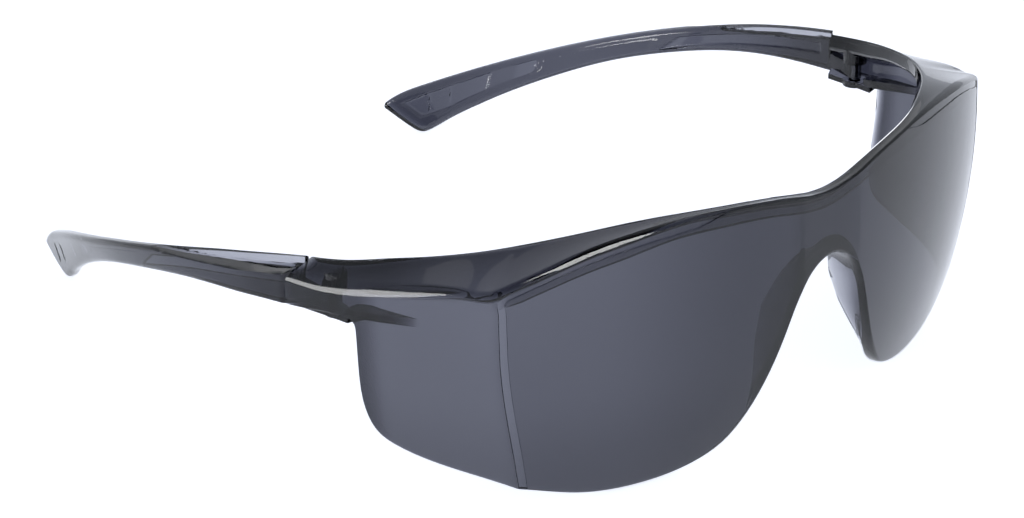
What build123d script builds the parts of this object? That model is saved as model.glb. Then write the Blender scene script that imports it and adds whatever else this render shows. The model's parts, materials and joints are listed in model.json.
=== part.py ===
from build123d import *

import math
import os

# Safety glasses: a one-piece shield (two lens panels, bridge, brow ledge, side shields, hinge
# arms and nose flanges in one clear moulding) and two folding temples on upright hinge screws.
#
# Axes: X to the wearer's left, Y to the rear, Z up. The origin is on the resting surface, under
# the middle of the open glasses, which stand on the lens bottoms and the two temple tips.
# Points below are written (x, behind, up), where "behind" is measured from the corner ridge
# between a lens panel and its side shield. Each piece is made on the +X side and mirrored.
# All sizes are millimetres.

# ---- driving dimensions -------------------------------------------------------------------
CORNER_Y = -62.28           # Y of the corner ridges
WALL = 2.0                  # thickness of the moulding
LENS_CENTRE = (-2.0, 118.8, 36.2)
LENS_RADIUS = 138.2
SIDE_CENTRE = (-56.8, 53.4, 38.2)
SIDE_RADIUS = 135.5
BRIDGE_HALF_WIDTH = 8.0     # the bridge between the lens panels is straight across this half-width
BROW_PROUD = 0.5            # how far the brow stands out from the lens panels and side shields
BRIDGE_PROUD = 0.2
BROW_DEPTH = 3.2            # height of the outer face of the brow
BROW_STEPS = 26             # sections that the brow is built through
BROW_SKIN = 1.8             # thickness of the outer face of the brow, just under the wall's
LEDGE_UNDERSIDE = 1.3       # drop from the ridge to the underside of the ledge, at the wall
NOSE_FLANGE_WALL = 1.6
FLANGE_STEPS = 8
NOSE_STEP = 0.2             # the flange starts this far back from the cut edge of the nose arch
NOSE_RUN = (-0.72, 0.69)    # direction of the edge where the lens bottom turns up to the nose
REACH = 200.0               # longer than the object, for cuts that pass right through it
UNDER_FLOOR = -10.0         # a height below the object, for open ends of outlines
OVER_TOP = 80.0             # a height above the object

SEAM_INNER = (73.6, 40.9)   # (x, behind) of the slanting joint face between arm and temple
SEAM_OUTER = (79.0, 43.8)
SEAM_GAP = 0.3

PIN_X = 73.7
PIN_BEHIND = 34.6
SCREW_RADIUS = 0.70
SCREW_HEAD_RADIUS = 1.25
SCREW_HEAD_HEIGHT = 0.6
SCREW_SLOT_WIDTH = 0.35
SCREW_SLOT_DEPTH = 0.3
SCREW_TIP_CHAMFER = 0.25
SCREW_TIP_ROOM = 0.2        # left free above the screw
LUG_CLEARANCE = 0.05        # radial, lug bore over screw
SOCKET_CLEARANCE = 0.01     # radial, arm bores over screw
LUG_HALF_WIDTH = 1.35
LUG_ROOT_INNER = (73.9, 44.0)   # (x, behind) where the lug's sides run into the temple head
LUG_ROOT_OUTER = (75.8, 44.0)
LUG_GAP = 0.3               # between the lug and the knuckles above and below it
KNUCKLE_RADIUS = 2.2
ARM_BOTTOM = 32.2
LUG_BOTTOM = 34.0
LUG_TOP = 37.0
KNUCKLE_TOP = 40.0
SCREW_TOP = 39.4

POCKET_DEPTH = 0.5          # panels sunk into the inside of a temple
POCKET_OVERRUN = 1.0        # the cut for a panel starts this far outside the blade


def at(x, behind, up):
    """Point in the model from a point measured behind the corner ridge."""
    return Vector(x, CORNER_Y + behind, up)


def seen_from_side(points):
    """(behind, up) pairs as points of a sketch on the YZ plane."""
    return [(CORNER_Y + behind, up) for behind, up in points]


def seen_from_above(points):
    """(x, behind) pairs as points of a sketch on the XY plane."""
    return [(x, CORNER_Y + behind) for x, behind in points]


def lens_behind(x, up):
    """Where the outside of the lens panel lies at x and height up."""
    across = max(x, BRIDGE_HALF_WIDTH) - LENS_CENTRE[0]
    rise = up - LENS_CENTRE[2]
    return LENS_CENTRE[1] - math.sqrt(LENS_RADIUS**2 - across**2 - rise**2)


def side_x(behind, up):
    """Where the outside of the side shield lies."""
    back = behind - SIDE_CENTRE[1]
    rise = up - SIDE_CENTRE[2]
    return SIDE_CENTRE[0] + math.sqrt(SIDE_RADIUS**2 - back**2 - rise**2)


def seam_plane(shift):
    """The upright joint plane between arm and temple, moved to the rear by shift."""
    along = Vector(SEAM_OUTER[0] - SEAM_INNER[0], SEAM_OUTER[1] - SEAM_INNER[1], 0).normalized()
    rearward = Vector(-along.Y, along.X, 0)
    return Plane(origin=at(*SEAM_INNER, 0) + rearward * shift, x_dir=along, z_dir=rearward)


# ---- the curved wall of lens panels and side shields ---------------------------------------
def envelope(inset):
    """The space inside the lens sphere, the bridge cylinder and the side sphere."""
    crease = BRIDGE_HALF_WIDTH - LENS_CENTRE[0]
    bridge_radius = math.sqrt(LENS_RADIUS**2 - crease**2)
    with BuildPart() as space:
        with Locations(at(*LENS_CENTRE)):
            Sphere(LENS_RADIUS - inset)
        with Locations(at(0, LENS_CENTRE[1], LENS_CENTRE[2])):
            Cylinder(bridge_radius - inset, 2 * REACH, rotation=(0, 90, 0), mode=Mode.INTERSECT)
        with Locations(at(*SIDE_CENTRE)):
            Sphere(SIDE_RADIUS - inset, mode=Mode.INTERSECT)
        split(bisect_by=Plane.YZ, keep=Keep.TOP)
    return space.part


# Lower edge of a lens panel from the corner to the nose, then the nose arch, as (x, up).
LENS_BOTTOM = [(63.6, 4.4), (52.0, 1.2), (40.4, 0.0), (29.5, 1.2), (22.0, 4.6)]
NOSE_EDGE = [(16.0, 12.6), (11.9, 22.0), (8.2, 30.4), (4.6, 34.3), (0.0, 35.7)]
# Where the wall ends inside the brow, from the bridge to the arm, as (x, up).
WALL_TOP = [
    (0.0, 47.8), (13.0, 49.6), (26.0, 51.0), (37.0, 51.2), (47.0, 50.0),
    (57.0, 47.2), (68.0, 43.0), (74.0, 40.0), (79.5, 37.4),
]
# Lower and rear edge of a side shield, then the underside of the hinge arm, as (behind, up).
SHIELD_BOTTOM = [(1.0, 4.6), (12.6, 6.8), (21.6, 8.9)]
SHIELD_REAR = [(25.8, 11.0), (27.6, 15.6), (28.0, 22.0), (28.0, 31.0)]
ARM_UNDERSIDE = [(29.6, 33.2), (50.0, ARM_BOTTOM)]

with BuildPart() as wall_half:
    add(envelope(0))
    add(envelope(WALL), mode=Mode.SUBTRACT)
    with BuildSketch(Plane.XZ):
        with BuildLine():
            Spline(*LENS_BOTTOM, tangents=[(-1.0, -0.25), NOSE_RUN])
            Spline(LENS_BOTTOM[-1], *NOSE_EDGE, tangents=[NOSE_RUN, (-1.0, 0.0)])
            Line(NOSE_EDGE[-1], WALL_TOP[0])
            Spline(*WALL_TOP)
            Polyline(
                WALL_TOP[-1],
                (REACH, WALL_TOP[-1][1]),
                (REACH, UNDER_FLOOR),
                (LENS_BOTTOM[0][0], UNDER_FLOOR),
                LENS_BOTTOM[0],
            )
        make_face()
    extrude(amount=REACH, both=True, mode=Mode.INTERSECT)
    with BuildSketch(Plane.YZ):
        with BuildLine():
            Spline(*seen_from_side(SHIELD_BOTTOM + SHIELD_REAR), tangents=[(1.0, 0.15), (0.0, 1.0)])
            Spline(
                *seen_from_side([SHIELD_REAR[-1], ARM_UNDERSIDE[0]]),
                tangents=[(0.0, 1.0), (1.0, 0.0)],
            )
            Polyline(
                *seen_from_side([
                    ARM_UNDERSIDE[0],
                    ARM_UNDERSIDE[1],
                    (ARM_UNDERSIDE[1][0], OVER_TOP),
                    (-REACH, OVER_TOP),
                    (-REACH, UNDER_FLOOR),
                    (SHIELD_BOTTOM[0][0], UNDER_FLOOR),
                    SHIELD_BOTTOM[0],
                ])
            )
        make_face()
    extrude(amount=REACH, both=True, mode=Mode.INTERSECT)

# ---- the brow: a ledge from the bridge round the corner and along the hinge arm ------------
# Ridge (x, up) on the lens panel, inner edge (x, behind, up), thickness at the inner edge.
BROW_STATIONS = [
    ((0.0, 48.7), (0.0, -15.8, 48.6), 1.8),
    ((13.0, 50.7), (12.6, -15.2, 50.5), 1.8),
    ((26.0, 52.3), (24.6, -13.4, 52.3), 1.8),
    ((37.0, 52.6), (33.6, -10.2, 52.7), 1.8),
    ((47.0, 51.5), (41.4, -5.8, 52.2), 1.8),
    ((57.0, 48.9), (49.6, -0.2, 50.8), 1.8),
]
# The same along the side, with the ridge as (behind, up) on the side shield.
ARM_STATIONS = [
    ((0.0, 45.1), (56.6, 6.0, 49.2), 2.0),
    ((6.0, 44.3), (61.8, 12.0, 47.7), 2.4),
    ((14.0, 43.0), (66.4, 19.4, 46.1), 2.9),
    ((23.0, 41.2), (69.7, 26.4, 44.7), 3.4),
    ((34.0, 39.4), (72.6, 34.6, 42.9), 3.6),
    ((46.0, 38.4), (73.9, 46.0, 40.9), 3.2),
]


def even_spline(points):
    """Smooth curve through points, one unit of parameter from each point to the next."""
    return Edge.make_spline(points, parameters=[float(step) for step in range(len(points))])


def brow_section(ridge, inner, thickness):
    """Section of the brow on the upright plane through a ridge point and an inner edge point."""
    across = Vector(inner.X - ridge.X, inner.Y - ridge.Y, 0)
    plane = Plane(origin=ridge, x_dir=across, z_dir=across.cross(Vector(0, 0, 1)))
    rise = inner.Z - ridge.Z
    with BuildSketch(plane) as section:
        with BuildLine():
            Polyline(
                (0, 0),
                (across.length, rise),
                (across.length, rise - thickness),
                (BROW_SKIN, -LEDGE_UNDERSIDE),
                (BROW_SKIN, -BROW_DEPTH),
                (0, -BROW_DEPTH),
                close=True,
            )
        make_face()
    return section.sketch


ridge_points = []
for (x, up), inner, thickness in BROW_STATIONS:
    proud = BROW_PROUD if x > BRIDGE_HALF_WIDTH else BRIDGE_PROUD
    ridge_points.append(at(x, lens_behind(x, up) - proud, up))
for (behind, up), inner, thickness in ARM_STATIONS:
    ridge_points.append(at(side_x(behind, up) + BROW_PROUD, behind, up))
all_stations = BROW_STATIONS + ARM_STATIONS
ridge_path = even_spline(ridge_points)
inner_path = even_spline([at(*inner) for ridge, inner, thickness in all_stations])
brow_sections = []
for step in range(BROW_STEPS + 1):
    place = step / BROW_STEPS
    before = min(int(place * (len(all_stations) - 1)), len(all_stations) - 2)
    share = place * (len(all_stations) - 1) - before
    thickness = (1 - share) * all_stations[before][2] + share * all_stations[before + 1][2]
    ridge = ridge_path.position_at(place, position_mode=PositionMode.PARAMETER)
    inner = inner_path.position_at(place, position_mode=PositionMode.PARAMETER)
    brow_sections.append(brow_section(ridge, inner, thickness))

with BuildPart() as brow_half:
    loft(brow_sections, ruled=True)

# ---- nose flange: a lip that runs back from the edge of the nose arch -----------------------
# Free edge of the flange, as (behind, up), from its foot near the lens bottom to the bridge.
FLANGE_EDGE = [(-13.6, 5.2), (-12.6, 13.0), (-10.8, 20.0), (-10.2, 26.0), (-12.0, 32.5), (-15.2, 38.0)]


def nose_line(shift):
    """Points beside the nose edge, the shift away from it into the lens, as (x, up)."""
    edge = Edge.make_spline([LENS_BOTTOM[-1], *NOSE_EDGE], tangents=[NOSE_RUN, (-1.0, 0.0)])
    points = []
    for step in range(FLANGE_STEPS + 1):
        place = edge.position_at(step / FLANGE_STEPS)
        heading = edge.tangent_at(step / FLANGE_STEPS)
        points.append((place.X + shift * heading.Y, place.Y - shift * heading.X))
    return points


with BuildPart() as flange_half:
    with BuildSketch(Plane.XZ):
        with BuildLine():
            near = Spline(*nose_line(NOSE_STEP))
            far = Spline(*nose_line(NOSE_STEP + NOSE_FLANGE_WALL))
            Line(near @ 0, far @ 0)
            Line(near @ 1, far @ 1)
        make_face()
    extrude(amount=REACH, both=True)
    with BuildSketch(Plane.YZ):
        with BuildLine():
            Spline(*seen_from_side(FLANGE_EDGE))
            Polyline(
                *seen_from_side([
                    FLANGE_EDGE[-1],
                    (-REACH, FLANGE_EDGE[-1][1]),
                    (-REACH, FLANGE_EDGE[0][1]),
                    FLANGE_EDGE[0],
                ])
            )
        make_face()
    extrude(amount=REACH, both=True, mode=Mode.INTERSECT)
    add(envelope(WALL / 2), mode=Mode.INTERSECT)

# ---- hinge arm: lower flange and the knuckles above and below the lug ----------------------
# Outline of the lower flange from above, as (x, behind): outer side in the wall, inner edge.
ARM_FLANGE = [
    (77.6, 44.0), (76.2, 34.6), (73.8, 22.0), (71.6, 13.0),
    (70.9, 22.0), (71.5, 32.0), (71.9, 38.0), (72.9, 44.0),
]
flange_thickness = LUG_BOTTOM - LUG_GAP - ARM_BOTTOM
knuckle_height = KNUCKLE_TOP - LUG_TOP - LUG_GAP
socket_depth = SCREW_TOP + SCREW_TIP_ROOM - ARM_BOTTOM

with BuildPart() as shield_half:
    add(wall_half.part)
    add(brow_half.part)
    add(flange_half.part)
    with BuildSketch(Plane.XY.offset(ARM_BOTTOM)):
        with BuildLine():
            Polyline(*seen_from_above(ARM_FLANGE), close=True)
        make_face()
        with Locations(at(PIN_X, PIN_BEHIND, 0)):
            Circle(KNUCKLE_RADIUS)
    extrude(amount=flange_thickness)
    with BuildSketch(Plane.XY.offset(KNUCKLE_TOP - knuckle_height)):
        with Locations(at(PIN_X, PIN_BEHIND, 0)):
            Circle(KNUCKLE_RADIUS)
    extrude(amount=knuckle_height)
    split(bisect_by=seam_plane(0), keep=Keep.BOTTOM)
    with Locations(at(PIN_X, PIN_BEHIND, ARM_BOTTOM + socket_depth / 2)):
        Cylinder(SCREW_RADIUS + SOCKET_CLEARANCE, socket_depth, mode=Mode.SUBTRACT)
    with Locations(at(PIN_X, PIN_BEHIND, ARM_BOTTOM + SCREW_HEAD_HEIGHT / 2)):
        Cylinder(SCREW_HEAD_RADIUS + SOCKET_CLEARANCE, SCREW_HEAD_HEIGHT, mode=Mode.SUBTRACT)

with BuildPart() as front_shield:
    add(shield_half.part)
    mirror(about=Plane.YZ)

# ---- temples ------------------------------------------------------------------------------
# Middle line of the blade from above, as (x, behind, half the thickness there).
TEMPLE_STATIONS = [
    (75.9, 38.0, 2.3), (76.2, 47.0, 2.15), (76.3, 58.0, 1.7), (75.8, 72.0, 1.4),
    (73.5, 87.0, 1.3), (69.0, 102.0, 1.3), (62.8, 116.5, 1.35), (55.9, 130.0, 1.5),
    (48.3, 144.4, 1.5),
]
# Upper and lower edges from the side, as (behind, up), and the flared tip between them.
TEMPLE_TOP = [(38.0, 42.4), (52.0, 39.7), (64.4, 36.7), (77.0, 33.2), (92.9, 28.3),
              (108.0, 22.7), (121.0, 17.3), (134.0, 11.3), (141.4, 7.8)]
TEMPLE_TIP = [(143.6, 6.4), (143.2, 5.2), (137.0, 0.2), (135.2, 0.0)]
TEMPLE_BOTTOM = [(129.0, 5.6), (122.0, 10.4), (112.0, 15.2), (101.3, 19.6), (87.8, 24.2),
                 (77.1, 27.2), (67.2, 29.3), (52.0, 31.2), (38.0, 32.0)]
# The outer upper edge of the head is cut back to a face that runs out on the blade.
FACET_POINTS = [(73.7, 41.0, 41.5), (78.6, 43.5, 38.5), (76.6, 84.0, 31.2)]
# Sunk panels on the inner face: first and last station behind, and the rim left above and below.
TEMPLE_POCKETS = [(47.0, 76.0, 1.7), (103.0, 121.0, 1.6), (123.5, 137.5, 2.0)]


def temple_line(shift):
    """Points beside the middle line of a temple: shift gives the distance from half thickness."""
    path = even_spline([at(x, behind, 0) for x, behind, half in TEMPLE_STATIONS])
    points = []
    for step, (x, behind, half) in enumerate(TEMPLE_STATIONS):
        heading = path.tangent_at(step / (len(TEMPLE_STATIONS) - 1))
        outward = Vector(heading.Y, -heading.X, 0)
        points.append(at(x, behind, 0) + outward * shift(half))
    return points


def temple_plan(outer_shift, inner_shift):
    """Plan of a temple between two lines beside its middle line."""
    with BuildSketch(Plane.XY.offset(UNDER_FLOOR)) as plan:
        with BuildLine():
            outer = Spline(*temple_line(outer_shift))
            inner = Spline(*temple_line(inner_shift))
            Line(outer @ 0, inner @ 0)
            Line(outer @ 1, inner @ 1)
        make_face()
    return plan.sketch


def temple_outline():
    """Outline of a temple from the side."""
    with BuildSketch(Plane.YZ) as outline:
        with BuildLine():
            top = Spline(*seen_from_side(TEMPLE_TOP))
            bottom = Spline(*seen_from_side(TEMPLE_BOTTOM))
            Polyline(*seen_from_side([TEMPLE_TOP[-1]] + TEMPLE_TIP + [TEMPLE_BOTTOM[0]]))
            Line(bottom @ 1, top @ 0)
        make_face()
    return outline.sketch


def panel_outline(rim):
    """Outline from the side that stays a rim away from the upper and lower edges."""
    with BuildSketch(Plane.YZ) as outline:
        with BuildLine():
            top = Spline(*seen_from_side([(behind, up - rim) for behind, up in TEMPLE_TOP]))
            bottom = Spline(*seen_from_side([(behind, up + rim) for behind, up in TEMPLE_BOTTOM]))
            Line(top @ 1, bottom @ 0)
            Line(bottom @ 1, top @ 0)
        make_face()
    return outline.sketch


def temple_pocket(first, last, rim):
    """Solid that sinks one panel into the inside of a temple, between two places behind."""
    length = last - first
    with BuildPart() as pocket:
        extrude(
            temple_plan(lambda half: POCKET_DEPTH - half, lambda half: -half - POCKET_OVERRUN),
            amount=OVER_TOP,
        )
        extrude(panel_outline(rim), amount=REACH, both=True, mode=Mode.INTERSECT)
        with Locations(at(0, (first + last) / 2, 0)):
            Box(REACH, length, REACH, mode=Mode.INTERSECT)
    return pocket.part


facet_corner = at(*FACET_POINTS[0])
facet_across = at(*FACET_POINTS[1]) - facet_corner
facet_along = at(*FACET_POINTS[2]) - facet_corner
facet_plane = Plane(origin=facet_corner, x_dir=facet_across, z_dir=facet_across.cross(facet_along))

with BuildPart() as temple_left:
    extrude(temple_plan(lambda half: half, lambda half: -half), amount=OVER_TOP)
    extrude(temple_outline(), amount=REACH, both=True, mode=Mode.INTERSECT)
    split(bisect_by=seam_plane(SEAM_GAP), keep=Keep.TOP)
    split(bisect_by=facet_plane, keep=Keep.BOTTOM)
    for first, last, rim in TEMPLE_POCKETS:
        add(temple_pocket(first, last, rim), mode=Mode.SUBTRACT)
    with BuildSketch(Plane.XY.offset(LUG_BOTTOM)):
        with BuildLine():
            Polyline(
                *seen_from_above([
                    (PIN_X - LUG_HALF_WIDTH, PIN_BEHIND),
                    (PIN_X + LUG_HALF_WIDTH, PIN_BEHIND),
                    LUG_ROOT_OUTER,
                    LUG_ROOT_INNER,
                ]),
                close=True,
            )
        make_face()
        with Locations(at(PIN_X, PIN_BEHIND, 0)):
            Circle(LUG_HALF_WIDTH)
            Circle(SCREW_RADIUS + LUG_CLEARANCE, mode=Mode.SUBTRACT)
    extrude(amount=LUG_TOP - LUG_BOTTOM)

with BuildPart() as temple_right:
    mirror(temple_left.part, about=Plane.YZ)

# ---- hinge screws: put in from below, through the lug, into the knuckle above ----------------
with BuildPart() as hinge_screw_left:
    with Locations(at(PIN_X, PIN_BEHIND, (ARM_BOTTOM + SCREW_TOP) / 2)):
        Cylinder(SCREW_RADIUS, SCREW_TOP - ARM_BOTTOM)
    chamfer(hinge_screw_left.edges().sort_by(Axis.Z)[-1], length=SCREW_TIP_CHAMFER)
    with Locations(at(PIN_X, PIN_BEHIND, ARM_BOTTOM + SCREW_HEAD_HEIGHT / 2)):
        Cylinder(SCREW_HEAD_RADIUS, SCREW_HEAD_HEIGHT)
    with Locations(at(PIN_X, PIN_BEHIND, ARM_BOTTOM)):
        Box(2 * REACH, SCREW_SLOT_WIDTH, 2 * SCREW_SLOT_DEPTH, mode=Mode.SUBTRACT)

with BuildPart() as hinge_screw_right:
    mirror(hinge_screw_left.part, about=Plane.YZ)

# ---- hand over ----------------------------------------------------------------------------
pieces = {
    "front_shield": front_shield,
    "temple_left": temple_left,
    "temple_right": temple_right,
    "hinge_screw_left": hinge_screw_left,
    "hinge_screw_right": hinge_screw_right,
}
os.makedirs("parts", exist_ok=True)
for name, piece in pieces.items():
    piece.part.label = name
    export_step(piece.part, f"parts/{name}.step")
    box = piece.part.bounding_box()
    print(name, "volume", round(piece.part.volume), "low", box.min, "high", box.max)
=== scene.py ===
import json
import math

import bmesh
import bpy
import numpy as np
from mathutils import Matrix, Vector


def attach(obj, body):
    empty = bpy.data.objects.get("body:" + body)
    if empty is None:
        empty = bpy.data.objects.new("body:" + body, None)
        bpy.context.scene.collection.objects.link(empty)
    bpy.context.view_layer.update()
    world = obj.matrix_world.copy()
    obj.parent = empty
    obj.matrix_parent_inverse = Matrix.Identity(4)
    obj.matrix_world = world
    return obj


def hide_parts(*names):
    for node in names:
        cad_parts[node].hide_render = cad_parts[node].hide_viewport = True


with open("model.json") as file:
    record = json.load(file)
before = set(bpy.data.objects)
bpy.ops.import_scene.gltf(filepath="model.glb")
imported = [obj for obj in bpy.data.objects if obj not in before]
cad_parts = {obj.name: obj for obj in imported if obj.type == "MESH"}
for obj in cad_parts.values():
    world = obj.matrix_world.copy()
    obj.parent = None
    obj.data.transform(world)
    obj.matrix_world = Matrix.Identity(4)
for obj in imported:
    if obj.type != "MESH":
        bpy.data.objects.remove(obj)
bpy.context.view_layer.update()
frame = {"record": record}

MM = 0.001
PIN_BEHIND = 34.6  # the hinge pins stand this far behind the corner ridges
PIN = next(j for j in frame["record"]["behaviour"]["joints"] if j["name"] == "fold_left")["pos_m"]
CORNER_Y = PIN[1] / MM - PIN_BEHIND

# Sizes are in millimetres, as (x, behind the corner ridge, up), as in the CAD part.
WALL = 2.0
LENS_CENTRE = (-2.0, 118.8, 36.2)
LENS_RADIUS = 138.2
SIDE_CENTRE = (-56.8, 53.4, 38.2)
SIDE_RADIUS = 135.5
BRIDGE = 8.0
BRIDGE_RADIUS = math.sqrt(LENS_RADIUS**2 - (BRIDGE - LENS_CENTRE[0]) ** 2)
SPAN = 65.0  # a lens panel is this wide from the middle to the corner, in panel coordinates
CREASE_SOFT = 0.3
BORDER_DEPTH = 0.24  # of the line moulded round a lens panel
SHARP_ANGLE = math.radians(38.0)  # edges sharper than this stay crisp in the shading


# ---- helpers ------------------------------------------------------------------------------
def spline(points, at, params=None):
    """Natural cubic spline through points, read at the given parameters."""
    pts = np.asarray(points, float)
    n = len(pts)
    t = np.arange(n, dtype=float) if params is None else np.asarray(params, float)
    h = np.diff(t)
    a = np.zeros((n, n))
    b = np.zeros((n, pts.shape[1]))
    a[0, 0] = a[-1, -1] = 1.0
    for i in range(1, n - 1):
        a[i, i - 1 : i + 2] = h[i - 1], 2 * (h[i - 1] + h[i]), h[i]
        b[i] = 6 * ((pts[i + 1] - pts[i]) / h[i] - (pts[i] - pts[i - 1]) / h[i - 1])
    m = np.linalg.solve(a, b)
    at = np.asarray(at, float)
    k = np.clip(np.searchsorted(t, at, side="right") - 1, 0, n - 2)
    lo, hi = t[k], t[k + 1]
    d = (hi - lo)[:, None]
    u = (hi - at)[:, None]
    v = (at - lo)[:, None]
    return (
        m[k] * u**3 / (6 * d)
        + m[k + 1] * v**3 / (6 * d)
        + (pts[k] / d - m[k] * d / 6) * u
        + (pts[k + 1] / d - m[k + 1] * d / 6) * v
    )


def chords(points):
    """Parameters for a spline that follow the lengths between its points."""
    steps = np.linalg.norm(np.diff(np.asarray(points, float), axis=0), axis=1)
    return np.concatenate([[0.0], np.cumsum(steps)])


def smooth(lo, hi, value):
    """0 below lo, 1 above hi, smooth between."""
    t = np.clip((np.asarray(value, float) - lo) / (hi - lo), 0.0, 1.0)
    return t * t * (3 - 2 * t)


def lens_behind(x, up, inset=0.0):
    """Lens panels: two parts of balls, joined at the bridge by part of a level tube."""
    rise = up - LENS_CENTRE[2]
    x = np.abs(x)
    ball = np.sqrt((LENS_RADIUS - inset) ** 2 - (x - LENS_CENTRE[0]) ** 2 - rise**2)
    tube = np.sqrt((BRIDGE_RADIUS - inset) ** 2 - rise**2)
    return LENS_CENTRE[1] - np.minimum(ball, tube)


def side_x(behind, up, inset=0.0):
    """Side shield: part of a ball, leant out at the top and in at the foot near the lens panel."""
    back = behind - SIDE_CENTRE[1]
    rise = up - SIDE_CENTRE[2]
    lean = 1.9 * smooth(-2.0, 34.0, up) + 0.7 * smooth(41.0, 47.0, up) - 0.95
    ball = np.sqrt((SIDE_RADIUS - inset) ** 2 - back**2 - rise**2)
    return SIDE_CENTRE[0] + ball + lean * smooth(26.0, 0.0, behind)


def crease(up, inset=0.0):
    """Where lens panel and side shield meet: x and behind at a height."""
    x = np.full(np.shape(up), SPAN)
    for _ in range(25):
        x = side_x(lens_behind(x, up, inset), up, inset)
    return x, lens_behind(x, up, inset)


def skin_raw(a, up, inset):
    """Point of the wall as skin gives it, but with a sharp corner."""
    a, up, inset = np.broadcast_arrays(np.asarray(a, float), np.asarray(up, float), inset)
    cx, cb = crease(up, np.minimum(inset, WALL))
    x = (SPAN + a) / SPAN * cx
    lens = np.stack([x, lens_behind(x, up, inset), up], -1)
    behind = cb + np.maximum(a, 0.0)
    side = np.stack([side_x(behind, up, inset), behind, up], -1)
    return np.where((a < 0)[..., None], lens, side)


def skin(a, up, inset=0.0):
    """Point of the curved wall. a is 0 at the corner, negative on the lens, positive behind."""
    soft = 0.1 + (CREASE_SOFT - 0.1) * smooth(-40.0, -20.0, a)
    return (
        0.25 * skin_raw(a - soft, up, inset)
        + 0.5 * skin_raw(a, up, inset)
        + 0.25 * skin_raw(a + soft, up, inset)
    )


def shade(mesh):
    """Smooth shading, with crisp edges where faces meet sharply."""
    for p in mesh.polygons:
        p.use_smooth = True
    mesh.set_sharp_from_angle(angle=SHARP_ANGLE)


def new_object(name, bm):
    mesh = bpy.data.meshes.new(name)
    bmesh.ops.recalc_face_normals(bm, faces=bm.faces)
    bm.to_mesh(mesh)
    bm.free()
    shade(mesh)
    obj = bpy.data.objects.new(name, mesh)
    bpy.context.scene.collection.objects.link(obj)
    return obj


def to_model(p):
    """From (x, behind, up) in millimetres to metres in the shared frame."""
    return Vector((p[0] * MM, (CORNER_Y + p[1]) * MM, p[2] * MM))


def boolean(obj, other, kind):
    """Apply a boolean with another object, which is then removed."""
    mod = obj.modifiers.new("cut", "BOOLEAN")
    mod.operation = kind
    mod.solver = "EXACT"
    mod.object = other
    deps = bpy.context.evaluated_depsgraph_get()
    mesh = bpy.data.meshes.new_from_object(obj.evaluated_get(deps))
    obj.modifiers.clear()
    obj.data = mesh
    bpy.data.objects.remove(other)


def wall_at(a, up):
    """Thickness of the wall: thin on the side, thicker at the nose, bridge, foot and arm."""
    return (
        1.45
        + 0.17 * smooth(1.5, -1.5, a)
        + 0.4 * smooth(-14.0, -50.0, a)
        + 0.26 * smooth(11.0 - SPAN, 5.0 - SPAN, a)
        + 0.17 * smooth(24.0, 4.0, up)
        + 0.65 * smooth(22.0, 28.0, a)
    )


# ---- front shield ---------------------------------------------------------------------------
# Upper edge of the wall: (x, up) on the lens panels, then (behind, up) on the side.
LENS_RIDGE = [(0, 48.35), (13, 50.35), (26, 51.95), (37, 52.0), (47, 50.75), (57, 48.55)]
SIDE_RIDGE = [(0, 44.45), (6, 43.6), (14, 41.8), (23, 39.7), (34, 37.8), (46, 37.5)]
# Slanting band between the wall and the top of the brow: inward and up, at the same places.
BAND = [
    (0.35, 0.35), (0.35, 0.35), (0.45, 0.3), (1.1, 0.45), (1.4, 0.8), (1.4, 0.95), (1.3, 0.95), (1.5, 1.25),
    (1.6, 1.9), (1.6, 2.3), (1.4, 1.9), (0.6, 1.1),
]
# The underside of the ledge meets the wall this far below the wall's upper edge, and the wall
# under it is thicker down to the second depth.
ROOT_DEPTH = [1.3, 1.3, 1.3, 1.3, 1.3, 1.2, 0.9, 0.7, 0.6, 0.6, 0.4, 0.4]
STEP_DEPTH = [3.2, 3.2, 3.4, 3.2, 3.5, 3.4, 2.6, 2.2, 1.6, 1.4, 1.0, 1.0]
# Inner edge of the ledge (x, behind, up) and its thickness, at the same places.
LEDGE = [
    (0.0, -15.8, 48.6, 2.2), (12.6, -15.2, 50.5, 2.2), (24.6, -13.4, 52.2, 2.3),
    (33.6, -10.2, 52.6, 2.3), (41.4, -5.8, 52.1, 2.3), (49.6, -0.2, 50.8, 2.4),
    (56.6, 6.0, 49.2, 2.5), (61.8, 12.0, 47.7, 2.6), (66.4, 19.4, 46.1, 2.9),
    (69.7, 26.4, 44.7, 3.8), (72.6, 34.6, 42.9, 4.2), (73.9, 46.0, 40.9, 3.4),
]
# Lower edge from the middle of the nose arch: (x, up), then (behind, up).
LENS_EDGE = [(0, 35.7), (4.6, 34.3), (8.2, 30.4), (11.9, 22), (16, 12.6), (22, 4.6), (29.5, 1.2),
             (40.4, 0.0), (52, 1.2)]
SIDE_EDGE = [(12.6, 6.8), (21.4, 8.9), (25.6, 11.2), (27.5, 15.6), (27.9, 22), (27.7, 30.6),
             (28.3, 33.4), (30.6, 34.0), (38, 33.35), (50, 32.4)]
CORNER_FOOT = 4.45
# Ridge place, in stations, that each point of the lower edge is joined to.
JOINED = [0, 0.35, 0.62, 1.0, 1.45, 2.0, 2.65, 3.5, 4.6, 6, 7.35, 8.1, 8.4, 8.8, 9.15, 9.5, 9.6,
          9.8, 10.35, 11]
# Free edge of the nose flange: (behind, up).
FLANGE_EDGE = [(-13.6, 5.2), (-12.6, 13.0), (-10.8, 20.0), (-10.2, 26.0), (-12.0, 32.5), (-15.2, 38.0)]
# Slanting seam between the hinge arm and the temple's head, as (x, behind).
SEAM_INNER = (73.6, 40.9)
SEAM_OUTER = (79.0, 43.8)
SEAM_SLOPE = 0.537


def on_lens(x, up):
    """Panel coordinates of a point of a lens panel."""
    cx, _ = crease(np.array(float(up)))
    return SPAN * x / float(cx) - SPAN, up


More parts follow.
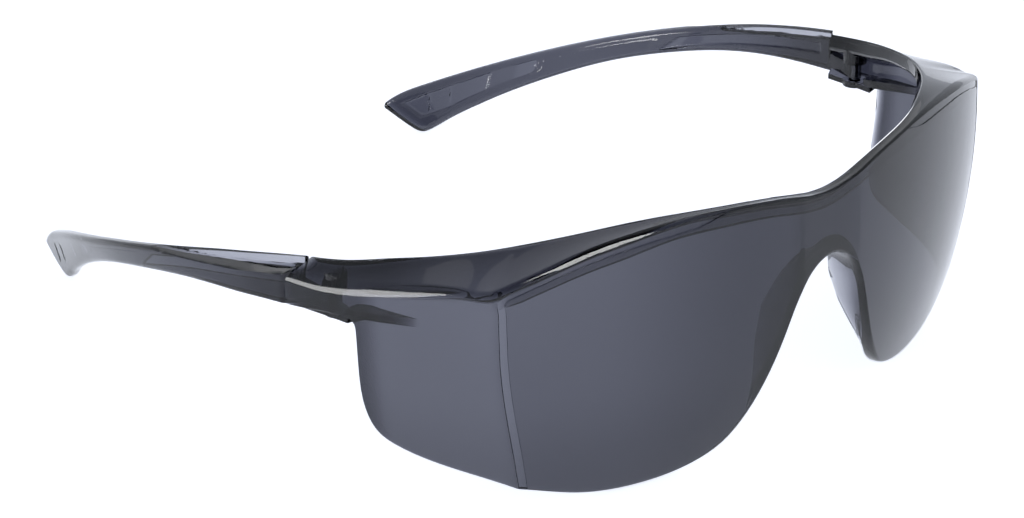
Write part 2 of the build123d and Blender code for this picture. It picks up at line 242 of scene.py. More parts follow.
def on_side(behind, up):
    """Panel coordinates of a point of a side shield."""
    _, cb = crease(np.array(float(up)))
    return behind - float(cb), up


ridge_pts = [on_lens(*p) for p in LENS_RIDGE] + [on_side(*p) for p in SIDE_RIDGE]
ridge_pts[6] = (0.0, SIDE_RIDGE[0][1])
foot_pts = [on_lens(*p) for p in LENS_EDGE] + [(0.0, CORNER_FOOT)] + [on_side(*p) for p in SIDE_EDGE]
mirror_foot = [(-2 * SPAN - foot_pts[i][0], foot_pts[i][1]) for i in (2, 1)]
all_foot = mirror_foot + foot_pts
foot_param = chords(all_foot)
foot_start = foot_param[2]
foot_keys = foot_param[2:] - foot_start
mirror_ridge = [(-2 * SPAN - ridge_pts[i][0], ridge_pts[i][1]) for i in (2, 1)]
ledge_mirror = [(-LEDGE[i][0],) + LEDGE[i][1:] for i in (2, 1)]
brow_shape = np.column_stack([BAND, ROOT_DEPTH, STEP_DEPTH])


def foot_at(t):
    return spline(all_foot, np.asarray(t) + foot_start, foot_param)


def ridge_at(place):
    return spline(mirror_ridge + ridge_pts, np.asarray(place) + 2.0)


def ledge_at(place):
    return spline(ledge_mirror + LEDGE, np.asarray(place) + 2.0)


def shape_at(place):
    """Width and height of the brow's band, depth of its root and of the thicker wall."""
    return np.column_stack([np.interp(place, range(12), brow_shape[:, k]) for k in range(4)])


# Columns of the net run from the lower edge to the ridge; they crowd together at the corner.
dense_t = np.linspace(0, foot_keys[-1], 4000)
dense_foot = foot_at(dense_t)
dense_place = np.linspace(0, 11, 4000)
dense_ridge = ridge_at(dense_place)
cluster = [-3.6, -2.9, -2.3, -1.9, -1.6, -1.42, -1.35, -1.32, -1.29, -1.26, -1.2, -0.95, -0.6, -0.34,
           -0.24, -0.2, -0.17, -0.14, -0.11, -0.02, 0.12, 0.3, 0.55, 0.95, 1.5, 2.3, 3.2]
LINE_IN = 0.16  # the border line starts this far from the corner
LINE_WIDTH = 1.14
LINE_SPREAD = 0.28  # and is this much wider at the foot of the corner
spread = [a if a > -0.9 else -LINE_IN + (a + LINE_IN) * (1 + LINE_SPREAD) for a in cluster]
near = [(float(np.interp(b, dense_foot[900:3000, 0], dense_t[900:3000])),
         float(np.interp(a, dense_ridge[:, 0], dense_place))) for a, b in zip(cluster, spread)]
pair_t = list(foot_keys)
pair_p = list(JOINED)
corner_index = 9
pair_t[corner_index:corner_index + 1] = [n[0] for n in near]
pair_p[corner_index:corner_index + 1] = [n[1] for n in near]
keep_lo, keep_hi = near[0][0], near[-1][0]
bridge_cols = [float(np.interp(x, SPAN + dense_foot[:700, 0], dense_t[:700]))
               for x in (7.5, 7.8, 7.95, 8.1, 8.3, 8.6)]
col_t, col_p = [], []
COLUMN_STEP = 0.85
AVERAGED = 60  # samples averaged on each side of a place
place_now = np.pad(np.interp(dense_t, pair_t, pair_p), AVERAGED, mode="reflect", reflect_type="odd")
window = 2 * AVERAGED + 1
soft_place = np.convolve(place_now, np.ones(window) / window, mode="valid")
for t in np.arange(0, foot_keys[-1] + 1e-6, COLUMN_STEP):
    if keep_lo - 0.5 < t < keep_hi + 0.5:
        continue
    col_t.append(float(t))
    col_p.append(float(np.interp(t, dense_t, soft_place)) if t > 0 else 0.0)
for t, p in near:
    col_t.append(t)
    col_p.append(p)
for t in bridge_cols:
    col_t.append(t)
    col_p.append(float(np.interp(t, dense_t, soft_place)))
order = np.argsort(col_t)
col_t = np.array(col_t)[order]
col_p = np.maximum.accumulate(np.array(col_p)[order])
cols = len(col_t)
foot = foot_at(col_t)
ridge = ridge_at(col_p)
ledge = ledge_at(col_p)
foot[0, 0] = ridge[0, 0] = -SPAN
ledge[0, 0] = 0.0

SOFTENED = 6  # columns blended on each side, so that the band has no kinks
kernel = np.hanning(2 * SOFTENED + 1)
kernel /= kernel.sum()
padded = np.pad(shape_at(col_p), ((SOFTENED, SOFTENED), (0, 0)), mode="edge")
shape = np.column_stack([np.convolve(padded[:, k], kernel, mode="valid") for k in range(4)])
from_mid = SPAN + ridge[:, 0]
top = ridge.copy()
TOP_DROP = 0.12  # the net of the wall ends this far below the ridge
top[:, 1] -= TOP_DROP
column_len = np.hypot(top[:, 0] - foot[:, 0], top[:, 1] - foot[:, 1])
wall = wall_at(foot[:, 0], foot[:, 1])
wall_top = wall_at(ridge[:, 0], ridge[:, 1])

flange = np.array(FLANGE_EDGE)
flange_free = np.interp(foot[:, 1], flange[:, 1], flange[:, 0])
wall_back = skin(foot[:, 0], foot[:, 1], wall)[:, 1]
on_nose = smooth(26.0, 18.0, SPAN + foot[:, 0])
reach = np.maximum(flange_free - wall_back, 0.0) * on_nose
has_lip = smooth(0.0, 1.2, reach)
lip = 0.5 + 1.1 * has_lip  # thickness of the flange, or half that of the plain rim

rows = []


def row(e, inset, relief=None):
    """One row of points: e millimetres up each column from the lower edge, at a depth."""
    f = np.minimum(e / column_len, 1.0)
    a = foot[:, 0] + (top[:, 0] - foot[:, 0]) * f
    up = foot[:, 1] + (top[:, 1] - foot[:, 1]) * f
    depth = inset if relief is None else inset - relief(a, up, e)
    rows.append(skin(a, up, depth))


# Width of the border line under the brow, by distance from the middle.
LINE_X = [25.9, 27.7, 29.5, 32.0, 36.0, 40.0, 44.0, 47.7, 55.0, 58.4, 68.0]
LINE_W = [0.05, 0.55, 1.1, 1.6, 1.7, 1.55, 1.45, 1.3, 1.3, 1.2, 1.14]
CORNER_X = 68.6
LINE_START = 25.0
brow_x = from_mid * CORNER_X / SPAN
brow_line = np.interp(brow_x, LINE_X, LINE_W)
line_scale = np.where(brow_x < LINE_START, 1.0, brow_line / LINE_WIDTH)


def border(a, up, e):
    """Line sunk round a lens panel, just inside its edges."""
    inward = -a - LINE_IN
    below = column_len - e
    soft = 2.2
    p = np.maximum(soft - inward, 0.0)
    q = np.maximum(soft - below, 0.0)
    both = (p > 0) & (q > 0)
    gap = np.where(both, soft - np.hypot(p, q), np.minimum(inward, below))
    down = np.clip((44.0 - up) / 40.0, 0, 1)
    width = np.where(inward < below, LINE_WIDTH * (1 + LINE_SPREAD * down), brow_line)
    line = smooth(-0.04, 0.04, gap) * smooth(width + 0.04, width - 0.04, gap)
    fade = smooth(23.8, 25.2, SPAN + a) * smooth(0.02, -0.02, a)
    return -BORDER_DEPTH * line * fade


squeeze = np.minimum(1.0, column_len / 9.0)
# outside of the wall, from the rim up to the brow
rim = 1 + 0.9 * on_nose  # the rim is rounded more round the nose
row(0.5 * rim * squeeze, 0.0, border)
OUTER = 30
# distances below the ridge of the rows that draw the border line
crowd = np.array([2.9, 2.3, 1.9, 1.6, 1.38, 1.24, 1.18, 1.15, 1.12, 1.08, 0.95, 0.6, 0.25, 0.06, 0.03, 0.0])
start = 0.5 * rim * squeeze
end = column_len - crowd[0] * squeeze * line_scale
for i in range(1, OUTER):
    g = i / OUTER
    g = g * (0.45 + 0.55 * g) if g < 1 else 1
    row(start + (end - start) * g, 0.0, border)
for d in crowd:
    row(column_len - d * squeeze * line_scale, 0.0, border)
# slanting band at the front of the brow, slightly domed
edge_top = ledge[:, :3]
thick = ledge[:, 3:4]
BULGE = 0.45
band_low = skin(ridge[:, 0], ridge[:, 1], 0.0)
band_high = skin(ridge[:, 0], ridge[:, 1] + shape[:, 1], shape[:, 0])
band_out = skin(ridge[:, 0], ridge[:, 1] + shape[:, 1], 0.0)
band_mid = (band_low + band_high) / 2
band_out = band_mid + BULGE * (band_out - band_mid)
for f in (0.0, 0.04, 0.12, 0.24, 0.36, 0.48, 0.6, 0.72, 0.84, 0.94, 0.98, 1.0):
    rows.append(band_low * (1 - f) ** 2 + band_out * 2 * f * (1 - f) + band_high * f * f)
# top of the ledge, its rounded inner edge and its underside
ridge_line = band_high
across = edge_top - ridge_line
length = np.linalg.norm(across[:, :2], axis=1, keepdims=True)
flat = across / length
UP = np.array([0.0, 0.0, 1.0])
for f in (0.012, 0.04, 0.1, 0.18, 0.32, 0.48, 0.64, 0.78, 0.88):
    crown = 0.1 * math.sin(math.pi * f)
    rows.append(ridge_line + across * f - UP * crown)
EDGE_ROUND = 0.55
for turn in (0, 25, 50, 75, 90):
    s, c = math.sin(math.radians(turn)), math.cos(math.radians(turn))
    rows.append(edge_top - flat * (EDGE_ROUND * (1 - s)) - UP * (EDGE_ROUND * (1 - c)))
jut = (0.8 + 0.5 * smooth(-4.0, 10.0, ridge[:, 0]))[:, None]  # the lower edge stands further in
for turn in (0, 30, 60, 90):
    s, c = math.sin(math.radians(turn)), math.cos(math.radians(turn))
    rows.append(edge_top - UP * thick + UP * (EDGE_ROUND * (1 - s)) + flat * (jut - EDGE_ROUND * (1 - c)))
under_up = ridge[:, 1] - shape[:, 2]
STEP_THICK = 0.5  # how much thicker the lens wall is just under the ledge
stepped_wall = wall_top + STEP_THICK * smooth(1.0, -3.0, ridge[:, 0])
under_root = skin(ridge[:, 0], under_up, stepped_wall)
under_edge = edge_top - UP * thick + flat * (jut - EDGE_ROUND)
for f in (0.25, 0.5, 0.75, 0.9):
    rows.append(under_edge + (under_root - under_edge) * f)
ROOT_BLEND = 0.3
low_root = skin(ridge[:, 0], under_up - ROOT_BLEND, stepped_wall)
rows.append(0.25 * rows[-1] + 0.5 * under_root + 0.25 * low_root)
rows.append(low_root)
# inside of the wall, down to the rim or to the nose flange
INNER = 26
lower = lip + 0.5 + 1.7 * has_lip
e_root = column_len + (under_up - ROOT_BLEND - top[:, 1])
step_e = column_len - (shape[:, 3] - TOP_DROP)
levels = [e_root + (step_e + 0.2 - e_root) * g for g in (0.5, 1.0)]
levels += [step_e + d for d in (0.12, 0.06, 0.0, -0.06, -0.12)]
levels += [step_e - 0.2 + (lower * squeeze - step_e + 0.2) * i / INNER for i in range(INNER)]
for e in levels:
    f = e / column_len
    a = foot[:, 0] + (top[:, 0] - foot[:, 0]) * f
    up = foot[:, 1] + (top[:, 1] - foot[:, 1]) * f
    root_z = ridge[:, 1] - shape[:, 3]
    step = STEP_THICK * smooth(root_z - 0.12, root_z + 0.12, up) * smooth(1.0, -3.0, a)
    rows.append(skin(a, up, wall_at(a, up) + step))
row((lip + 0.35 + 1.6 * has_lip) * squeeze, wall)
row((lip + 0.22 + 1.45 * has_lip) * squeeze, wall + 0.14 * has_lip)
for f in (0.0, 0.3, 0.6, 0.85):
    inset = wall + (0.4 * has_lip) * (1 - f) + np.maximum(reach - 0.4, 0) * f
    fillet = 1.5 * has_lip * (1 - f) ** 2 - 0.45 * has_lip * f
    row((lip + fillet + 0.12 * (1 - has_lip) * (1 - f)) * squeeze, inset)
row((lip * 0.93 - 0.48 * has_lip) * squeeze, wall + reach - 0.12 * has_lip)
row((lip * 0.7 - 0.3 * has_lip) * squeeze, wall + reach - 0.02)
row(lip * 0.3 * squeeze, wall + reach - 0.06)
row(lip * 0.06 * squeeze, wall + reach - 0.3)
for f in (0.15, 0.4, 0.65, 0.88):
    row(0.0 * squeeze, 0.7 * rim + (wall + reach - 0.7 - 0.7 * rim) * (1 - f))
row(0.0 * squeeze, 0.6 * rim)
row(0.07 * rim * squeeze, 0.3 * rim)
row(0.24 * rim * squeeze, 0.09 * rim)

net = np.array(rows)  # rows x columns x 3
net[:, 0, 0] = 0.0
bm = bmesh.new()
verts = [[bm.verts.new(to_model(net[r, c])) for c in range(cols)] for r in range(len(net))]
for r in range(len(net)):
    n = (r + 1) % len(net)
    for c in range(cols - 1):
        bm.faces.new((verts[r][c], verts[r][c + 1], verts[n][c + 1], verts[n][c]))
seam_dir = Vector((SEAM_OUTER[0] - SEAM_INNER[0], SEAM_OUTER[1] - SEAM_INNER[1], 0)).normalized()
seam_normal = Vector((-seam_dir.y, seam_dir.x, 0))
seam_point = to_model((SEAM_INNER[0], SEAM_INNER[1], 0))
bmesh.ops.bisect_plane(bm, geom=bm.verts[:] + bm.edges[:] + bm.faces[:], plane_co=seam_point,
                       plane_no=seam_normal, clear_outer=True)
MIDDLE_SIDE = 0.03  # metres; open edges beyond it are at the seam, not at the mirror plane
ends = [e for e in bm.edges if e.is_boundary and min(v.co.x for v in e.verts) > MIDDLE_SIDE]
bmesh.ops.edgenet_fill(bm, edges=ends)
bmesh.ops.mirror(bm, geom=bm.verts[:] + bm.edges[:] + bm.faces[:], axis="X", merge_dist=1e-6)
shield = new_object("shield_moulding", bm)
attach(shield, "shield")
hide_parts("front_shield")


# ---- temples --------------------------------------------------------------------------------
# Stations of the blade: behind, inner x at the upper edge and at the lower edge, height of the
# upper edge and of the lower edge, thickness.
BLADE = [
    (41, 74.0, 74.4, 41.9, 33.1, 4.5), (50, 75.0, 75.3, 40.0, 32.2, 3.9), (60, 75.5, 75.7, 37.8, 31.0, 3.2),
    (72, 75.1, 74.8, 34.6, 28.9, 2.9), (85, 73.4, 72.4, 30.7, 25.5, 2.8), (98, 70.0, 68.4, 26.4, 21.1, 2.8),
    (110, 65.4, 62.8, 21.9, 15.6, 2.9), (122, 59.3, 56.5, 16.9, 8.8, 3.1), (134, 52.3, 49.3, 11.3, 0.0, 3.4),
    (144, 46.7, 43.8, 6.2, -8.6, 3.4),
]
# Edges of the flared tip, as (behind, up).
TIP_UNDER = [(124, 7.5), (126, 6.2), (128, 4.8), (130, 3.3), (131.5, 2.05), (132.6, 1.2), (133.6, 0.5),
             (134.8, 0.2), (136, 0.45), (138, 1.3), (140, 2.3), (141.4, 3.05), (142.5, 3.7), (143.1, 4.12),
             (143.45, 4.45), (143.6, 4.75)]
TIP_OVER = [(136, 10.3), (138, 9.3), (139.6, 8.4), (140.9, 7.55), (141.9, 6.8), (142.7, 6.05), (143.2, 5.45),
            (143.5, 5.05), (143.6, 4.9)]
# Three points of the sloping face that cuts the head back.
FACET = np.array([(73.7, 41.0, 41.5), (78.9, 43.6, 38.75), (77.2, 86.0, 30.4)])
TIP_END = 143.6
TIP_ROUND = 1.25
HEAD_START = 41.25
HEAD_ROUND = 0.32
HEAD_X = 74.5  # the slant of the head turns about this line
blade = np.array(BLADE)


def blade_at(b):
    return spline(blade[:, 1:], b, blade[:, 0])


def soft_min(x, y, k):
    """The smaller of two values, with the change between them rounded over k."""
    gap = np.clip(0.5 + 0.5 * (y - x) / k, 0, 1)
    return y * (1 - gap) + x * gap - k * gap * (1 - gap)


def oblong(b, up, first, last, low, high, round_end):
    """Distance inside a long panel with rounded ends between two lines; negative outside."""
    mid = (low + high) / 2
    half = (high - low) / 2
    along = np.minimum(b - first, last - b)
    r = np.minimum(half, round_end)
    p = np.maximum(r - along, 0)
    q = np.maximum(r - (half - np.abs(up - mid)), 0)
    corner = r - np.hypot(p, q)
    return np.where((p > 0) & (q > 0), corner, np.minimum(along, half - np.abs(up - mid)))


def sunk(b, up, over, under):
    """How deep the inner face of a temple is sunk at a place."""
    # window at the head, which tapers away to the rear
    low = under + np.interp(b, [42, 60, 85], [3.4, 2.1, 0.9])
    high = over - np.interp(b, [42, 60, 85], [2.9, 2.0, 1.7])
    high = np.minimum(high, low + np.interp(b, [70, 86], [9.0, 0.2]))
    d = oblong(b, up, 44.0, 86.0, low, high, 0.7)
    depth = 0.5 * smooth(-0.05, 0.3, d)
    # shallow pad in the middle, drawn by a fine line, and its cross line
    low = under + np.interp(b, [86, 109], [0.85, 0.95])
    high = over - np.interp(b, [86, 109], [1.5, 1.7])
    d = oblong(b, up, 86.6, 109.4, low, high, 2.4)
    depth = depth + 0.05 * np.exp(-((d / 0.13) ** 2))
    depth = depth + 0.05 * np.exp(-(((b - 105.9) / 0.13) ** 2)) * smooth(0, 0.2, d)
    # panel of the ear end, pointed towards the tip
    low = under + np.interp(b, [112, 122, 134, 140], [2.2, 2.6, 2.6, 2.8])
    low = np.maximum(low, np.interp(b, [120, 128, 134.8, 139.3], [0.0, 7.0, 3.6, 5.9]))
    high = over - np.interp(b, [112, 122, 134, 140], [1.2, 1.7, 2.2, 2.6])
    d = oblong(b, up, 112.6, 139.6, low, np.maximum(high, low + 0.05), 2.0)
    floor_depth = 0.5 - 0.2 * smooth(122.4, 122.1, b) * smooth(116.8, 117.6, b)
    depth = depth + floor_depth * smooth(-0.05, 0.35, d)
    d = oblong(b, up, 111.4, 139.0, low - 0.25, high + 0.2, 2.2)
    rim = np.exp(-(((d - 0.05) / 0.13) ** 2)) * smooth(115.0, 113.0, b)
    return depth + 0.06 * rim


def marks(b, up, over, under):
    """Two short curved grooves on the outside of the ear end."""
    depth = np.zeros_like(b)
    for centre in (135.1, 131.0):
        mid = (over + under) / 2 + 0.4
        line = centre + 0.05 * (up - mid) ** 2 + 0.12 * (up - mid)
        depth = depth + 0.3 * np.exp(-(((b - line) / 0.2) ** 2)) * smooth(2.3, 1.7, np.abs(up - mid))
    return depth


b_cols = np.concatenate([
    np.array([HEAD_START, 41.33, 41.5, 41.8, 42.2, 42.7, 43.2, 43.6, 43.8, 44.0, 44.2, 44.5, 44.9]),
    np.arange(45.3, 111, 0.55),
    np.arange(111, 142, 0.3),
    np.array([142.2, 142.5, 142.75, 142.95, 143.12, 143.27, 143.39, 143.48, 143.56]),
])
data = blade_at(b_cols)
x_top, x_bot, over_line, under_line, thick_b = data.T
lean = (x_bot - x_top) / (over_line - under_line)
over = over_line.copy()
under = under_line.copy()
tail = b_cols > 136
over[tail] = spline([(p[1],) for p in TIP_OVER], b_cols[tail], [p[0] for p in TIP_OVER])[:, 0]
tail = b_cols > 124
under[tail] = spline([(p[1],) for p in TIP_UNDER], b_cols[tail], [p[0] for p in TIP_UNDER])[:, 0]
to_end = np.clip((TIP_ROUND - (TIP_END - b_cols)) / TIP_ROUND, 0, 1)
end_round = np.sqrt(np.clip(1 - to_end**2, 0.02, 1))
from_start = np.clip((b_cols - HEAD_START) / HEAD_ROUND, 0, 1)
start_in = 0.3 * np.sqrt(np.clip(1 - from_start * (2 - from_start), 0, 1))
slant = SEAM_SLOPE * smooth(58, 44, b_cols)
tall = over - under
rim_r = np.minimum(np.interp(b_cols, [44, 55, 70, 120, 135], [0.45, 0.7, 1.0, 1.15, 1.35]), tall * 0.49)
normal = np.cross(FACET[1] - FACET[0], FACET[2] - FACET[0])


def blade_point(e, side, fine):
    """Row of points on one side of the blade at a height e above the lower edge."""
    up = under + e
    inner = x_top + lean * (over_line - up)
    gap = np.minimum(e, tall - e)
    half = thick_b / 2
    t = np.clip(gap / rim_r, 0, 1)
    h = half - rim_r + rim_r * np.sqrt(np.clip(1 - (1 - t) ** 2, 0, 1))
    h = h * end_round - start_in
    mid = inner + half
    b = b_cols + slant * (mid + side * h - HEAD_X)
    if side > 0:
        x = mid + h
        facet = FACET[0, 0] - (normal[1] * (b - FACET[0, 1]) + normal[2] * (up - FACET[0, 2])) / normal[0]
        x = soft_min(x, facet - start_in, 0.35)
        x = np.maximum(x, inner + 0.9)
        if fine:
            x = x - marks(b_cols, up, over, under) * end_round
    else:
        x = mid - h
        if fine:
            x = x + sunk(b_cols, up, over, under)
    b = b_cols + slant * (x - HEAD_X)
    return np.stack([x, b, up], -1)


rim_share = [0.0, 0.03, 0.12, 0.3, 0.55, 0.85]
rows = []
face_out = np.linspace(0, 1, 26)[1:-1]
face_in = np.linspace(0, 1, 46)[1:-1]
for share in rim_share:
    rows.append(blade_point(rim_r * share, 1, False))
for g in face_out:
    rows.append(blade_point(rim_r + (tall - 2 * rim_r) * g, 1, True))
for share in rim_share[::-1]:
    rows.append(blade_point(tall - rim_r * share, 1, False))
for share in rim_share:
    rows.append(blade_point(tall - rim_r * share, -1, False))
for g in face_in[::-1]:
    rows.append(blade_point(rim_r + (tall - 2 * rim_r) * g, -1, True))
for share in rim_share[::-1]:
    rows.append(blade_point(rim_r * share, -1, False))
blade_net = np.array(rows)


def prism(points, low, high, sign, slope=0.0):
    """Upright solid over an outline of (x, behind), on one side, rising forwards by slope."""
    bm = bmesh.new()
    rings = []
    for up in (low, high):
        places = [(sign * x, b, up + slope * (PIN_BEHIND - b)) for x, b in points]
        rings.append([bm.verts.new(to_model(place)) for place in places])
    n = len(points)
    for i in range(n):
        bm.faces.new((rings[0][i], rings[0][(i + 1) % n], rings[1][(i + 1) % n], rings[1][i]))
    bm.faces.new(rings[0][::-1])
    bm.faces.new(rings[1])
    return new_object("tool", bm)


def circle(x, b, r, n=48):
    return [(x + r * math.cos(2 * math.pi * i / n), b + r * math.sin(2 * math.pi * i / n)) for i in range(n)]


PIN_X = PIN[0] / MM
LUG_BOTTOM, LUG_TOP, LUG_HALF = 34.0, 37.0, 1.35


def temple(name, sign):
    bm = bmesh.new()
    grid = [[bm.verts.new(to_model((sign * p[0], p[1], p[2]))) for p in line] for line in blade_net]
    count = len(grid)
    for r in range(count):
        n = (r + 1) % count
        for c in range(len(b_cols) - 1):
            bm.faces.new((grid[r][c], grid[r][c + 1], grid[n][c + 1], grid[n][c]))
    bm.faces.new([grid[r][0] for r in range(count)])
    bm.faces.new([grid[r][-1] for r in range(count)][::-1])
    obj = new_object(name, bm)
    lug = [(PIN_X + LUG_HALF * math.cos(t), PIN_BEHIND + LUG_HALF * math.sin(t))
           for t in np.linspace(-math.pi, 0, 25)]
    lug += [(76.3, 43.6), (74.9, 43.6)]
    boolean(obj, prism(lug, LUG_BOTTOM, LUG_TOP, sign), "UNION")
    boolean(obj, prism(circle(PIN_X, PIN_BEHIND, 0.76), 30, 45, sign), "DIFFERENCE")
    return obj


temples = {}
for side, sign in (("left", 1), ("right", -1)):
    piece = temple("temple_blade_" + side, sign)
    shade(piece.data)
    temples[side] = piece
    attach(piece, side + "_temple")
    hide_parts("temple_" + side)


# ---- hinge arm of the shield: lower flange, knuckles and the screw bores ----------------------
def seam_at(x):
    return SEAM_INNER[1] + (x - SEAM_INNER[0]) * SEAM_SLOPE


rib = [(75.9, 30.0), (71.6, 29.0), (71.9, 33.0), (71.9, 38.0), (72.0, seam_at(72.0)),
       (77.0, seam_at(77.0)), (76.2, PIN_BEHIND)]
rib_front = [(75.7, 31.0), (74.9, 25.0), (73.6, 19.0), (72.4, 14.6), (72.2, 14.7), (71.9, 21.7),
             (71.5, 28.0), (72.0, 31.0)]
for sign in (1, -1):
    boolean(shield, prism(rib_front, 33.0, 34.6, sign, slope=0.13), "UNION")
    boolean(shield, prism(rib, 32.6, 33.7, sign), "UNION")
    boolean(shield, prism(circle(PIN_X, PIN_BEHIND, 2.4), 32.4, 33.7, sign), "UNION")
    boolean(shield, prism(circle(PIN_X, PIN_BEHIND, 2.4), 37.3, 40.3, sign), "UNION")
    boolean(shield, prism(circle(PIN_X, PIN_BEHIND, 0.71), 30, 39.6, sign), "DIFFERENCE")
    boolean(shield, prism(circle(PIN_X, PIN_BEHIND, 1.26), 30, 32.8, sign), "DIFFERENCE")
shade(shield.data)


# ---- materials ------------------------------------------------------------------------------
def object_noise(nt, scale, detail, stretch=(1, 1, 1)):
    """Noise over the object's own coordinates; scale is per metre."""
    place = nt.nodes.new("ShaderNodeTexCoord")
    mapping = nt.nodes.new("ShaderNodeMapping")
    mapping.inputs["Scale"].default_value = stretch
    noise = nt.nodes.new("ShaderNodeTexNoise")
    noise.inputs["Scale"].default_value = scale
    noise.inputs["Detail"].default_value = detail
    nt.links.new(place.outputs["Object"], mapping.inputs["Vector"])
    nt.links.new(mapping.outputs["Vector"], noise.inputs["Vector"])
    return noise.outputs["Fac"]


def spread_to(nt, value, low, high, out_low, out_high):
    """Value between two limits spread over an output range."""
    node = nt.nodes.new("ShaderNodeMapRange")
    for place, number in enumerate((low, high, out_low, out_high), start=1):
        node.inputs[place].default_value = number
    nt.links.new(value, node.inputs[0])
    return node.outputs[0]


def bump(nt, height, strength, distance, under=None):
    node = nt.nodes.new("ShaderNodeBump")
    node.inputs["Strength"].default_value = strength
    node.inputs["Distance"].default_value = distance
    nt.links.new(height, node.inputs["Height"])
    if under:
        nt.links.new(under, node.inputs["Normal"])
    return node.outputs["Normal"]


def tinted(name, density, tint):
    """Smoke-grey polycarbonate: moulded waviness, handling smears and hairline scratches."""
    m = bpy.data.materials.new(name)
    m.use_nodes = True
    nt = m.node_tree
    b = nt.nodes["Principled BSDF"]
    b.inputs["Base Color"].default_value = (1, 1, 1, 1)
    b.inputs["Transmission Weight"].default_value = 1.0
    b.inputs["IOR"].default_value = 1.42
    smears = spread_to(nt, object_noise(nt, 45.0, 3.0), 0.5, 0.8, 0.015, 0.045)
    nt.links.new(smears, b.inputs["Roughness"])
    waves = bump(nt, object_noise(nt, 60.0, 1.0), 0.02, 0.001)
    hairs = spread_to(nt, object_noise(nt, 240.0, 2.0, (1.0, 14.0, 0.6)), 0.7, 0.74, 0.0, 1.0)
    nt.links.new(bump(nt, hairs, 0.03, 0.00003, waves), b.inputs["Normal"])
    vol = nt.nodes.new("ShaderNodeVolumeAbsorption")
    vol.inputs["Color"].default_value = (*tint, 1)
    vol.inputs["Density"].default_value = density
    nt.links.new(vol.outputs[0], nt.nodes["Material Output"].inputs["Volume"])
    return m


def turned_steel(name):
    """Blackened steel with fine turning rings and worn patches."""
    m = bpy.data.materials.new(name)
    m.use_nodes = True
    nt = m.node_tree
    b = nt.nodes["Principled BSDF"]
    b.inputs["Metallic"].default_value = 1.0
    worn = object_noise(nt, 900.0, 3.0)
    colour = nt.nodes.new("ShaderNodeValToRGB")
    colour.color_ramp.elements[0].position = 0.4
    colour.color_ramp.elements[0].color = (0.09, 0.09, 0.1, 1)
    colour.color_ramp.elements[1].position = 0.68
    colour.color_ramp.elements[1].color = (0.22, 0.22, 0.24, 1)
    nt.links.new(worn, colour.inputs[0])
    nt.links.new(colour.outputs[0], b.inputs["Base Color"])
    nt.links.new(spread_to(nt, worn, 0.3, 0.7, 0.32, 0.5), b.inputs["Roughness"])
    rings = object_noise(nt, 300.0, 2.0, (1.0, 1.0, 30.0))
    nt.links.new(bump(nt, rings, 0.25, 0.0001), b.inputs["Normal"])
    return m


def set_material(obj, material):
    obj.data.materials.clear()
    obj.data.materials.append(material)


SMOKE = (0.0, 0.012, 0.11)  # densities are per metre and give the tint of the photo
set_material(shield, tinted("smoke_polycarbonate", 1450.0, SMOKE))
temple_glass = tinted("smoke_polycarbonate_temple", 1000.0, SMOKE)
for piece in temples.values():
    set_material(piece, temple_glass)
steel = turned_steel("blackened_steel")
for side in ("left", "right"):
    set_material(bpy.data.objects["hinge_screw_" + side], steel)

# ---- floor, light, camera ---------------------------------------------------------------------
floor_mesh = bpy.data.meshes.new("floor")
FLOOR_HALF = 6
FLOOR_UP = -0.0004  # just under the object, so that they share no face
corners = [(x * FLOOR_HALF, y * FLOOR_HALF, FLOOR_UP) for x, y in ((-1, -1), (1, -1), (1, 1), (-1, 1))]
floor_mesh.from_pydata(corners, [], [(0, 1, 2, 3)])
floor = bpy.data.objects.new("floor", floor_mesh)
bpy.context.scene.collection.objects.link(floor)
fm = bpy.data.materials.new("floor")
fm.use_nodes = True
fb = fm.node_tree.nodes["Principled BSDF"]
fb.inputs["Base Color"].default_value = (0.8, 0.8, 0.8, 1)
fb.inputs["Roughness"].default_value = 0.6
fb.inputs["Specular IOR Level"].default_value = 0.0
fb.inputs["Emission Color"].default_value = (0.94, 0.98, 1.08, 1)
fb.inputs["Emission Strength"].default_value = 0.8
floor_mesh.materials.append(fm)

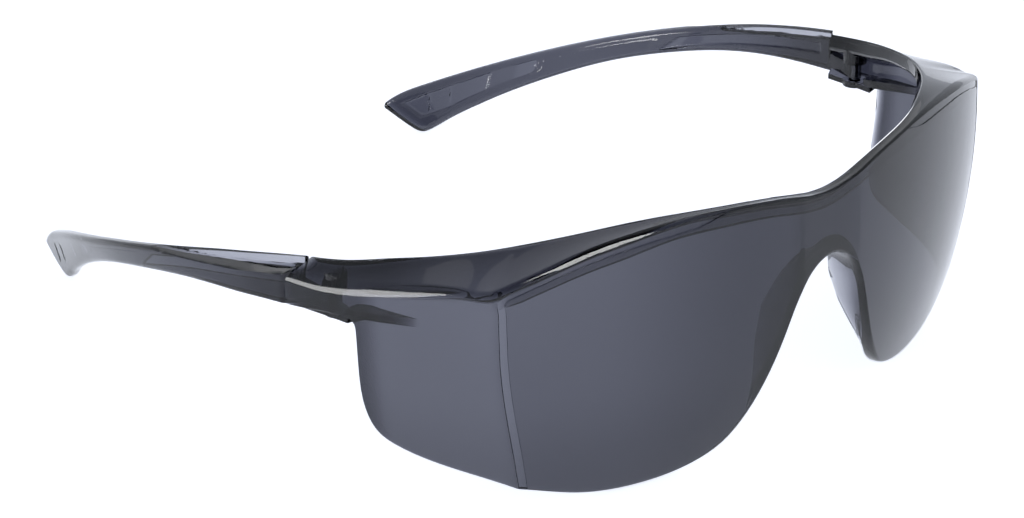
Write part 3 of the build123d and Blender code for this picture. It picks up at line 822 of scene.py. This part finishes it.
world = bpy.data.worlds.new("studio")
bpy.context.scene.world = world
world.use_nodes = True
wt = world.node_tree
coord = wt.nodes.new("ShaderNodeTexCoord")
axes = wt.nodes.new("ShaderNodeSeparateXYZ")
ramp = wt.nodes.new("ShaderNodeValToRGB")
wt.links.new(coord.outputs["Generated"], axes.inputs[0])
wt.links.new(axes.outputs["Z"], ramp.inputs[0])
wt.links.new(ramp.outputs[0], wt.nodes["Background"].inputs[0])
# Brightness of the studio from the horizon to the top.
stops = [(0.0, 0.9), (0.5, 0.7), (0.8, 0.58), (0.88, 0.5), (0.925, 0.12), (1.0, 0.08)]
while len(ramp.color_ramp.elements) < len(stops):
    ramp.color_ramp.elements.new(0.5)
for element, (place, level) in zip(ramp.color_ramp.elements, stops):
    element.position = place
    element.color = (level * 0.9, level * 0.95, level * 1.06, 1)
wt.nodes["Background"].inputs[1].default_value = 1.0


def softbox(name, direction, size_x, size_y, radiance, distance=1.2):
    """Rectangular light that faces the object; radiance is how bright it looks."""
    light = bpy.data.lights.new(name, "AREA")
    light.shape = "RECTANGLE"
    light.size = size_x * distance
    light.size_y = size_y * distance
    light.energy = radiance * math.pi * light.size * light.size_y
    o = bpy.data.objects.new(name, light)
    d = Vector(direction).normalized()
    o.location = Vector((0, 0, 0.04)) + d * distance
    o.rotation_euler = d.to_track_quat("Z", "Y").to_euler()
    o.visible_diffuse = False
    bpy.context.scene.collection.objects.link(o)


softbox("key_front", (-0.06, -0.5, 0.86), 0.45, 0.85, 14)
softbox("key_side", (-0.87, 0.43, 0.2), 0.24, 0.36, 10)
softbox("fill_right", (0.5, 0.62, 0.6), 0.75, 0.6, 0.35, distance=1.6)
softbox("fill_back", (0.17, 0.84, 0.5), 0.4, 0.3, 0.5, distance=1.6)

# The photo's viewpoint and lens, in the model's coordinates.
camera_pos = (-523.74, -428.48, 341.25)
target = (0.0, 60.9, 9.8)
cam_data = bpy.data.cameras.new("camera")
cam_data.lens = 140.625
cam_data.sensor_width = 36.0
cam_data.clip_start = 0.01
cam_data.clip_end = 50
cam = bpy.data.objects.new("camera", cam_data)
bpy.context.scene.collection.objects.link(cam)
cam.location = to_model(camera_pos)
aim = to_model(target) - cam.location
cam.rotation_euler = aim.to_track_quat("-Z", "Y").to_euler()
bpy.context.scene.camera = cam
bpy.context.scene.view_settings.view_transform = "Standard"
